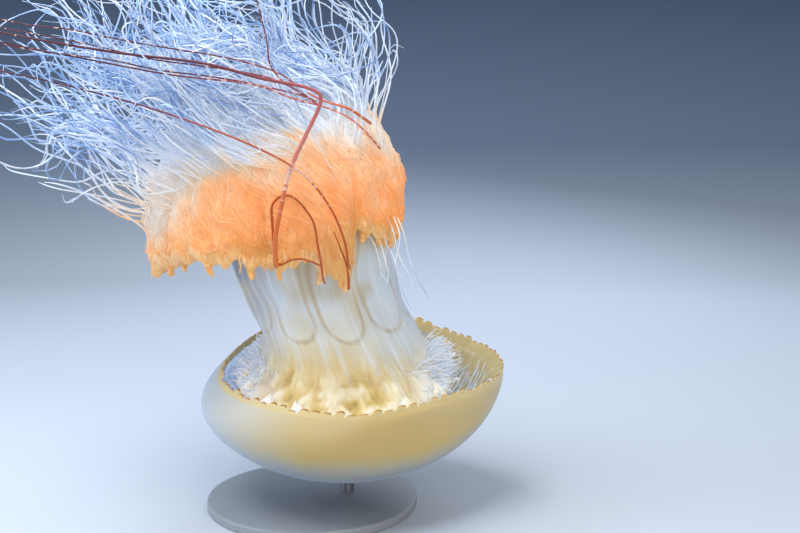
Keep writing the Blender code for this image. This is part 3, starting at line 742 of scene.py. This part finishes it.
def threads(own, angle, share, size, steps, wave, stray, locks=0.3, hug=0.0, curl=0.5, first_way=None):
    """Routes of threads from their roots on the arms, in the animal's frame, (count, steps + 1, 3).

    wave is how far a thread swings, stray how far it leaves the current, locks how far it drifts with its
    neighbours, hug how closely it keeps to the arms, and curl how many of the threads end in a hook.
    """
    count = len(angle)
    root = arm_surface(angle, share)
    root = root - off_arms(root) * ROOT_DEPTH
    swing = own.uniform(0, math.tau, (4, count))
    pace = own.uniform(0.7, 1.5, (3, count))
    bias = unit(own.normal(size=(count, 3))) * own.uniform(0, 1, (count, 1)) ** 1.3 * stray
    hook = unit(own.normal(size=(count, 3)))
    bent = np.clip(own.uniform(0, 1, count) - (1 - curl), 0, 1) / max(curl, 0.01)

    def route(size):
        here = root.copy()
        path = [here]
        for i in range(steps):
            t = (i + 0.5) / steps
            gone = t * size
            way = current(here)
            aside = unit(np.cross(way, np.array([0.2, 1.0, 0.1])))
            over = np.cross(way, aside)
            turn_a = np.sin(pace[0] * 30 * gone + swing[0]) + 0.45 * np.sin(pace[1] * 85 * gone + swing[1])
            turn_b = np.sin(pace[1] * 27 * gone + swing[2]) + 0.45 * np.sin(pace[2] * 80 * gone + swing[3])
            grows = (0.35 + 0.65 * np.clip(gone / 0.10, 0, 1)) * wave
            way = way + aside * (grows * turn_a)[:, None] + over * (grows * turn_b)[:, None]
            way = way + bias * min(1.0, 2.5 * t) + eddy(here, 0.11, 60) * locks
            if first_way is not None:
                way = way * t + first_way * (1 - t)
            if hug:
                off = unit((here - ARM_CENTRE) * np.array([1, 1, 1.2]))
                off[:, 2] = np.where(here[:, 2] < 0.30, 0.1 * off[:, 2], off[:, 2])
                off = unit(off)
                way = unit(way)
                lift = (way * off).sum(axis=1, keepdims=True) - (0.10 * (1 - t) + 0.01)
                way = way - off * lift * hug
            turned_back = (smooth(0.78, 1.0, t) * bent)[:, None]
            way = unit(way) * (1 - 1.5 * turned_back) + hook * 1.7 * turned_back
            here = here + unit(way) * (size / steps)[:, None]
            path.append(here)
        return np.stack(path, axis=1)

    for _ in range(3):  # a thread that would leave the model's room is cut shorter
        path = route(size)
        world = placed(path.reshape(-1, 3)).reshape(path.shape)
        outside = ((world < ROOM_LOW + 0.002) | (world > ROOM_HIGH - 0.002)).any(axis=2)
        first_out = np.where(outside.any(axis=1), outside.argmax(axis=1), steps + 1)
        size = size * np.minimum(1.0, (first_out - 0.5) / steps)
    return route(size)


def coat(name, own, angle, share, path, thickness, sides=3, least_warm=0.0, most_warm=1.0):
    """A piece of the coat: threads of one kind, each with its colour along it."""
    count, rings, _ = path.shape
    t = np.linspace(0, 1, rings)[None, :]
    gone = np.linalg.norm(path - path[:, :1], axis=-1)
    glow = glow_at(path)
    warm = np.clip(smooth(0.0, 0.25, glow) * (1 - smooth(0.035, 0.11, gone)), least_warm, most_warm)
    hem = 1 - smooth(0.0, 0.030, path[..., 2] - fringe_edge(angle)[:, None])
    far = np.clip(gone / 0.3, 0, 1) + 0.10 * smooth(0.3, 0.45, path[..., 2])
    # tint varies at random between threads and in patches; in thread jelly a low tint paints a thread in shade and a
    # high one in full light.
    tint_and_shade = np.clip(0.5 + 0.25 * lumps(path, 0.035, 91) + own.uniform(-0.42, 0.42, (count, 1)), 0, 1)
    tones = {"warm": warm, "glow": glow, "hem": hem, "far": far, "tint_and_shade": tint_and_shade}
    radii = tapered(own.uniform(*thickness, count), t)
    made = tubes(name, path, radii, sides, tones, skin_patch(angle, (share + 0.15) / 1.15))
    made.data.materials.append(thread_jelly)
    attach(made, "root")
    return made


# Long filaments: down-current ones in dense locks, the rest loose, and the longest from the crown. A lock of them
# passes along the front, over the red-brown strands, and half-long ones thicken the mass above the arms.
for name, seed, count, turns, shares, sizes, steps, thickness, sides, habits in (
    ("outer", 21, 190, (math.pi - 1.5, math.pi + 1.5), (-0.04, 0.62), (0.08, 0.30), 30, (0.0007, 0.0012), 4,
     {"wave": 0.55, "stray": 0.75, "locks": 0.55, "curl": 0.6}),
    ("middle", 22, 155, (0, math.tau), (0.45, 0.90), (0.12, 0.32), 30, (0.0007, 0.0012), 4,
     {"wave": 0.60, "stray": 1.05, "locks": 0.60, "curl": 0.7}),
    ("inner", 23, 165, (0, math.tau), (0.60, 1.00), (0.12, 0.36), 30, (0.0007, 0.0012), 4,
     {"wave": 0.60, "stray": 1.05, "locks": 0.60, "curl": 0.7}),
    ("front", 29, 75, np.radians((-175, -70)), (0.30, 0.75), (0.12, 0.36), 28, (0.0006, 0.0010), 4,
     {"wave": 0.35, "stray": 0.45, "first_way": np.array([-0.3, -0.8, 0.5])}),
    ("short", 31, 270, (-math.pi, math.pi), (0.45, 1.0), (0.05, 0.17), 18, (0.0007, 0.0010), 3,
     {"wave": 0.65, "stray": 1.0, "locks": 0.4, "curl": 0.7}),
):
    own = np.random.default_rng(seed)
    angle = own.uniform(*turns, count)
    least = shares[0] + (0.45 * smooth(0.5, 1.0, np.abs(angle - math.pi)) if name == "outer" else 0)
    share = least + (shares[1] - least) * own.uniform(0, 1, count)
    path = threads(own, angle, share, own.uniform(*sizes, count), steps, **habits)
    piece = coat(f"filaments_{name}", own, angle, share, path, thickness, sides)
    if name in ("outer", "middle", "inner"):
        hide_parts(*[f"filaments_{i}_{name}" for i in EIGHTS])

# Mouthlets over the arms, in bands from the fringe to the crown. They lie along the skin and lean with the
# current, with their tips a little raised. The crown's own are freer.
for number, (count, shares, sizes) in enumerate((
    (3300, (-0.12, 0.12), (0.008, 0.026)), (3600, (0.02, 0.30), (0.012, 0.034)), (3600, (0.20, 0.50), (0.014, 0.036)),
    (3600, (0.40, 0.74), (0.015, 0.038)), (2600, (0.60, 1.0), (0.015, 0.040)),
)):
    own = np.random.default_rng(41 + number)
    angle, share = own.uniform(-math.pi, math.pi, count), own.uniform(*shares, count)
    size = own.uniform(*sizes, count)
    if number == 0:  # most of the lowest spring from the very edge
        share, size = -0.14 + 0.26 * own.uniform(0, 1, count) ** 1.8, size * own.uniform(0.3, 1, count)
    if number == 4:
        path = threads(own, angle, share, size, 8, wave=0.20, stray=0.28, locks=0.25, hug=0.95, curl=0.3)
    else:
        phase, lift = own.uniform(0, math.tau, count), own.uniform(0, 1, count) ** 2
        bias = own.normal(0, 0.22, count) + 0.5 * lumps(arm_surface(angle, share), 0.04, 80)
        path = []
        for t in np.linspace(0, 1, 9):
            sideways = (0.55 * np.sin(angle) + bias) * t + 0.10 * np.sin(4.5 * t + phase)
            under = arm_surface(angle + sideways * size / arm_reach(angle), share + t * size / 0.21)
            raised = (0.0022 + 0.10 * size * lift) * min(1, 2.5 * t) - ROOT_DEPTH
            path.append(under + off_arms(under) * raised[:, None])
        path = np.stack(path, axis=1)
    coat(f"mouthlets_{number + 1}", own, angle, share, path, (0.0003, 0.0006))

# Fingers of the fringe: thick soft drips, deep orange, each with finer mouthlets round it.
own = np.random.default_rng(51)
DRIPS = np.radians([
    -187, -155, -127, -111, -99, -81, -72, -68.5, -55, -43, -19, 8, 30, 44, 63, 82, 97, 122, 146, 165,
])
LESSER = 10  # smaller ones between them
angle = np.concatenate([DRIPS, own.uniform(-math.pi, math.pi, LESSER)])
count, steps = len(angle), 9
outer = (arm_reach(angle) - COAT_DEPTH) * arm_lobe(angle, 0.0) - own.uniform(0.003, 0.009, count)
size = np.concatenate([own.uniform(0.012, 0.018, len(DRIPS)), own.uniform(0.008, 0.014, LESSER)])
bend = own.normal(size=(count, 3)) * 0.35
path = [polar(angle, outer, fringe_edge(angle) + 0.006, LEAN)]
for i in range(steps):
    way = unit(np.array([0, 0, -1.0]) + bend * (i / steps) + 0.09 * own.normal(size=(count, 3)))
    path.append(path[-1] + way * (size / steps)[:, None])
path = np.stack(path, axis=1)
t = np.linspace(0, 1, steps + 1)[None, :]
thick = np.concatenate([own.uniform(0.0034, 0.0046, len(DRIPS)), own.uniform(0.0020, 0.0032, LESSER)])
radii = thick[:, None] * (1 - 0.45 * t) * np.clip((1.0 - t) / 0.15, 0.15, 1) ** 0.5
fingers = tubes("fringe_fingers", path, radii, 8, {
    "height": path[..., 2], "round": np.degrees(angle)[:, None], "glow": 0.9, "hem": 0.4,
}, skin_patch(angle, 0.01 + 0 * angle))
fingers.data.materials.append(arm_flesh)
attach(fingers, "root")

count, steps = 110, 7
angle = own.uniform(-math.pi, math.pi, count)
size = own.uniform(0.006, 0.014, count)
down = unit(np.stack([0.15 * np.cos(angle), 0.15 * np.sin(angle), -1 + 0 * angle], axis=-1)
            + 0.25 * own.normal(size=(count, 3)))
outer = (arm_reach(angle) - COAT_DEPTH) * arm_lobe(angle, 0.0) - 0.010 * own.uniform(0, 1, count) ** 1.5
path = [polar(angle, outer, fringe_edge(angle) + own.uniform(0.004, 0.016, count), LEAN)]
for _ in range(steps):
    path.append(path[-1] + unit(down + 0.25 * eddy(path[-1], 0.02, 70)) * (size / steps)[:, None])
coat("fringe_mouthlets", own, angle, -0.125 + 0 * angle, np.stack(path, axis=1), (0.0005, 0.0010), least_warm=1.0)


# ---------------------------------------------------------------- red-brown strands
# Long feeding strands hang from the arms' fringe, and the current has carried them up over the arms. They
# are banded in red-brown and white near the root, and dark and slender further out.

STRANDS = [  # node, radius at the root and at the tip, share of white and the stretch it lies in, length hidden at
    # the root, all in metres, and the points it runs through, in millimetres
    ("whip_1", 0.0028, 0.0008, 0.36, (0.1, 0.122), 0, [
        (-57, -120, 283), (-57, -144, 280), (-56, -150, 309), (-49, -148, 342), (-40, -144, 374), (-25, -145, 405),
        (-12, -145, 434), (-22, -145, 445), (-65, -144, 454), (-117, -142, 467), (-198, -129, 475),
        (-294, -124, 491), (-390, -118, 514),
    ]),
    ("whip_2", 0.0013, 0.0007, 0.34, (0.1, 0.13), 0, [
        (11, -128, 272), (10, -143, 282), (8, -150, 303), (-2, -152, 332), (-20, -150, 359), (-43, -152, 379),
        (-83, -151, 399), (-127, -146, 415), (-190, -131, 432), (-272, -127, 452), (-359, -121, 467),
    ]),
    (None, 0.0011, 0.0007, 0.22, (0.0, 0.2), 0.08, [
        (40, -108, 383), (35, -121, 392), (26, -128, 404), (12, -134, 417), (-8, -139, 427), (-39, -140, 436),
        (-74, -140, 448), (-144, -139, 456), (-216, -126, 467), (-295, -122, 482), (-369, -117, 498),
    ]),
    (None, 0.0012, 0.0010, 0, (0, 0), 0, [
        (-58, -141, 280), (-59, -141, 299), (-60, -137, 319), (-60, -135, 334), (-54, -133, 342), (-45, -132, 344),
        (-37, -133, 340), (-28, -135, 330), (-21, -138, 318), (-18, -140, 298), (-15, -141, 279), (-14, -139, 266),
        (-13, -131, 258),
    ]),
    (None, 0.0010, 0.0008, 0, (0, 0), 0, [
        (-56, -141, 279), (-51, -137, 279), (-43, -137, 283), (-34, -137, 284), (-26, -137, 282), (-19, -135, 278),
        (-15, -136, 276),
    ]),
    (None, 0.0016, 0.0009, 0.1, (0.0, 0.3), 0.06, [
        (31, -108, 407), (24, -122, 415), (13, -130, 424), (1, -135, 429), (-12, -139, 434), (-24, -138, 440),
    ]),
    (None, 0.0009, 0.0006, 0.15, (0.0, 0.3), 0.2, [
        (-16, -110, 423), (-32, -126, 439), (-54, -128, 450), (-76, -130, 456), (-120, -130, 463),
        (-165, -129, 469), (-213, -127, 480), (-261, -124, 489), (-330, -120, 501),
    ]),
    (None, 0.0009, 0.0006, 0.15, (0.0, 0.3), 0.2, [
        (-17, -108, 424), (-32, -124, 438), (-48, -128, 450), (-58, -127, 464), (-60, -125, 481), (-64, -122, 501),
        (-70, -118, 525),
    ]),
    (None, 0.0008, 0.0006, 0.15, (0.0, 0.3), 0.2, [
        (-36, -108, 442), (-54, -124, 457), (-93, -128, 469), (-138, -130, 477), (-182, -128, 484),
        (-234, -125, 494), (-278, -122, 499), (-340, -116, 512),
    ]),
    (None, 0.0008, 0.0006, 0.15, (0.0, 0.3), 0.2, [
        (-18, -112, 428), (-32, -126, 436), (-66, -130, 445), (-108, -131, 453), (-157, -130, 459),
        (-201, -128, 468), (-245, -126, 473), (-310, -122, 482),
    ]),
    (None, 0.0014, 0.0006, 0, (0, 0), 0, [
        (9, -118, 260), (10, -136, 254), (10, -138, 265), (8, -140, 281), (3, -141, 296), (-3, -134, 310),
    ]),
]


def through(points, steps):
    """Evenly stepped points on a smooth curve through the given ones."""
    route = np.array([2 * np.array(points[0]) - points[1], *points, 2 * np.array(points[-1]) - points[-2]])
    curve = []
    for a, b, c, d in zip(route, route[1:], route[2:], route[3:]):
        for t in np.arange(steps) / steps:
            bend, twist = 2 * a - 5 * b + 4 * c - d, 3 * b - a - 3 * c + d
            curve.append(0.5 * (2 * b + (c - a) * t + bend * t**2 + twist * t**3))
    return np.array([*curve, route[-2]])


# Strand jelly: milky threads with dark red pigment in uneven bands, which run together towards both ends. On the
# shortest strands and at the thin one's root the pigment is rust-coloured.
strand_jelly, add = material("banded strand jelly", Subsurface_Weight=0.4, Subsurface_Scale=0.0015,
                             Roughness=0.35, IOR=1.34)
reach, white, rusty = (
    add("Attribute", out="Fac", attribute_name=name) for name in ("reach", "white", "rusty")
)
bands = add("TexNoise", reach, 170.0, 2.0, noise_dimensions="1D")
outward = add("ValToRGB", add("MapRange", reach, 0.0, 0.32), stops=[
    (0.0, "#de7c38"), (0.28, "#d6703f"), (0.38, "#da8a7a"), (0.60, "#bb6864"), (0.8, "#84434a"), (1.0, "#5f2f38"),
])
tone = add("Mix RGBA", rusty, outward, "#b4541f")
pale = add("MapRange", add("Math ADD", bands, white), 0.72, 0.86, 0.0, 0.8)
whole = add("Mix RGBA", pale, tone, "#f0cdbd")
shade(strand_jelly, Base_Color=whole)

for number, (node, thick, thin, white, lies, left_out, points) in enumerate(STRANDS):
    route = through(np.array(points) / 1000, 8)[None]
    t = np.linspace(0, 1, route.shape[1])[None]
    along = np.cumsum(np.linalg.norm(np.diff(route, axis=1, prepend=route[:, :1]), axis=2), axis=1)
    reach = left_out + along
    rusty = 0.7 * (1 - smooth(0.16, 0.26, reach)) if number == 1 else 0.9 * (number in (3, 4, 10))
    begun, ended = smooth(lies[0] - 0.012, lies[0] + 0.004, along), smooth(lies[1] - 0.01, lies[1] + 0.02, along)
    made = tubes(f"strand_{number + 1}", route, thick + (thin - thick) * t, 8,
                 {"reach": reach, "white": white * begun * (1 - ended), "rusty": rusty},
                 (np.array([0.1 + 0.08 * number]), np.array([0.2])))
    made.data.materials.append(strand_jelly)
    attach(made, "root")
    if node:
        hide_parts(*[f"{node}_length_{i}" for i in (1, 2, 3)])

# A few pale filaments hang down in the lee of the arms: across and up, in millimetres.
own = np.random.default_rng(61)
hanging = [
    [(40, 302), (44, 281), (51, 269), (58, 246), (63, 230), (70, 217)],
    [(56, 304), (62, 290), (66, 272), (70, 259), (78, 243), (87, 228)],
    [(46, 304), (52, 290), (55, 276), (60, 262), (67, 250), (72, 236)],
    [(30, 302), (36, 288), (41, 274), (45, 260), (47, 248), (44, 238)],
    [(52, 304), (58, 289), (57, 275), (54, 262), (57, 250), (64, 244)],
    [(22, 302), (26, 290), (33, 278), (38, 262), (40, 250), (46, 243)],
]
path = np.stack([
    through([(x, -0.060 - own.uniform(0, 0.006) - 0.35 * (0.30 - z), z) for x, z in np.array(points) / 1000], 5)
    for points in hanging
])
coat("hanging_filaments", own, np.arctan2(path[:, 0, 1], path[:, 0, 0] - LEAN), np.zeros(len(path)), path,
     (0.0005, 0.0008), sides=5, most_warm=0.1)


# ---------------------------------------------------------------- stand
# A turned steel base and a small cup, both powder-coated in satin grey, with a bare brushed post between them.
# The tip of the bell sits in the cup.

# Powder coat: satin, with the fine orange peel that baked powder keeps.
powder_coat, add = material("grey powder coat", Roughness=0.45, IOR=1.5)
peel = add("TexNoise", add("TexCoord", out="Object"), 900.0, 2.0)
tone = add("ValToRGB", peel, stops=[(0.3, "#8e9398"), (0.7, "#9a9fa4")])
shade(powder_coat, Base_Color=tone, Normal=add("Bump", 0.15, 0.0004, 0.1, peel))

# Brushed steel: fine scratches round the bar, drawn 0.4 mm apart so that they show.
brushed_steel, add = material("brushed steel", Metallic=1.0, Roughness=0.32)
where = add("Mapping", add("TexCoord", out="Object"), (0, 0, 0), (0, 0, 0), (20.0, 20.0, 2500.0))
tone = add("ValToRGB", add("TexNoise", where, 1.0, 2.0), stops=[(0.3, "#a8aaad"), (0.7, "#c9cbce")])
shade(brushed_steel, Base_Color=tone)

for name, finish in (("stand_base", powder_coat), ("stand_cup", powder_coat), ("stand_post", brushed_steel)):
    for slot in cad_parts[name].material_slots:
        slot.material = finish


# ---------------------------------------------------------------- room
# One sheet of matt paper makes the pale floor and sweeps up into the wall behind. Four large soft lamps light
# it, the strongest from above.

WALL_FOOT = 2.2  # how far behind the model the floor begins to rise
bpy.ops.object.select_all(action="DESELECT")
bpy.ops.mesh.primitive_plane_add(size=9.0, location=(0, 0, 0))
floor = bpy.context.object
floor.name = "floor"
bpy.ops.object.mode_set(mode="EDIT")
bpy.ops.mesh.select_mode(type="EDGE")
bpy.ops.mesh.select_all(action="DESELECT")
bpy.ops.object.mode_set(mode="OBJECT")
for vertex in floor.data.vertices:
    vertex.co.y = min(vertex.co.y, WALL_FOOT)
for edge in floor.data.edges:
    edge.select = all(floor.data.vertices[v].co.y > 2 for v in edge.vertices)
bpy.ops.object.mode_set(mode="EDIT")
bpy.ops.mesh.extrude_region_move(TRANSFORM_OT_translate={"value": (0, 0.9, 0.9)})
bpy.ops.mesh.extrude_region_move(TRANSFORM_OT_translate={"value": (0, 0, 3.0)})
bpy.ops.object.mode_set(mode="OBJECT")
sweep = floor.modifiers.new("sweep", "BEVEL")
sweep.width = 0.6
sweep.segments = 16
sweep.limit_method = "ANGLE"
sweep.angle_limit = math.radians(20)
bpy.ops.object.modifier_apply(modifier="sweep")
bpy.ops.object.shade_smooth()

# Seamless studio paper: matt and pale on the floor, painted darker up the wall as painted shade where the light falls
# off.
paper, add = material("studio paper", Roughness=0.9)
height = add("SeparateXYZ", add("TexCoord", out="Object"), out="Z")
rise = add("MapRange", height, 0.0, 0.9)
tone = add("ValToRGB", rise, stops=[(0.0, "#c3cad2"), (0.35, "#8191a6"), (1.0, "#55657c")])
shade(paper, Base_Color=tone)
floor.data.materials.append(paper)

world = bpy.data.worlds.new("world")
bpy.context.scene.world = world
world.use_nodes = True
world.node_tree.nodes["Background"].inputs["Color"].default_value = paint("#aebccc")
world.node_tree.nodes["Background"].inputs["Strength"].default_value = 0.55

middle_of_it = Vector((-0.03, 0.0, 0.30))
for name, place, size, power, colour in (
    ("lamp_top", (-0.5, -0.5, 1.9), 1.3, 40, "#f2f6ff"),
    ("lamp_front", (0.9, -1.8, 1.1), 1.6, 20, "#fff4e4"),
    ("lamp_left", (-1.7, -0.2, 0.8), 1.2, 16, "#dbe8ff"),
    ("lamp_back", (0.5, 1.7, 1.3), 1.2, 18, "#e4eeff"),
):
    aim = (middle_of_it - Vector(place)).to_track_quat("-Z", "Y").to_euler()
    bpy.ops.object.light_add(type="AREA", location=place, rotation=aim)
    lamp = bpy.context.object
    lamp.name = name
    lamp.data.size = size
    lamp.data.energy = power
    lamp.data.color = paint(colour)[:3]
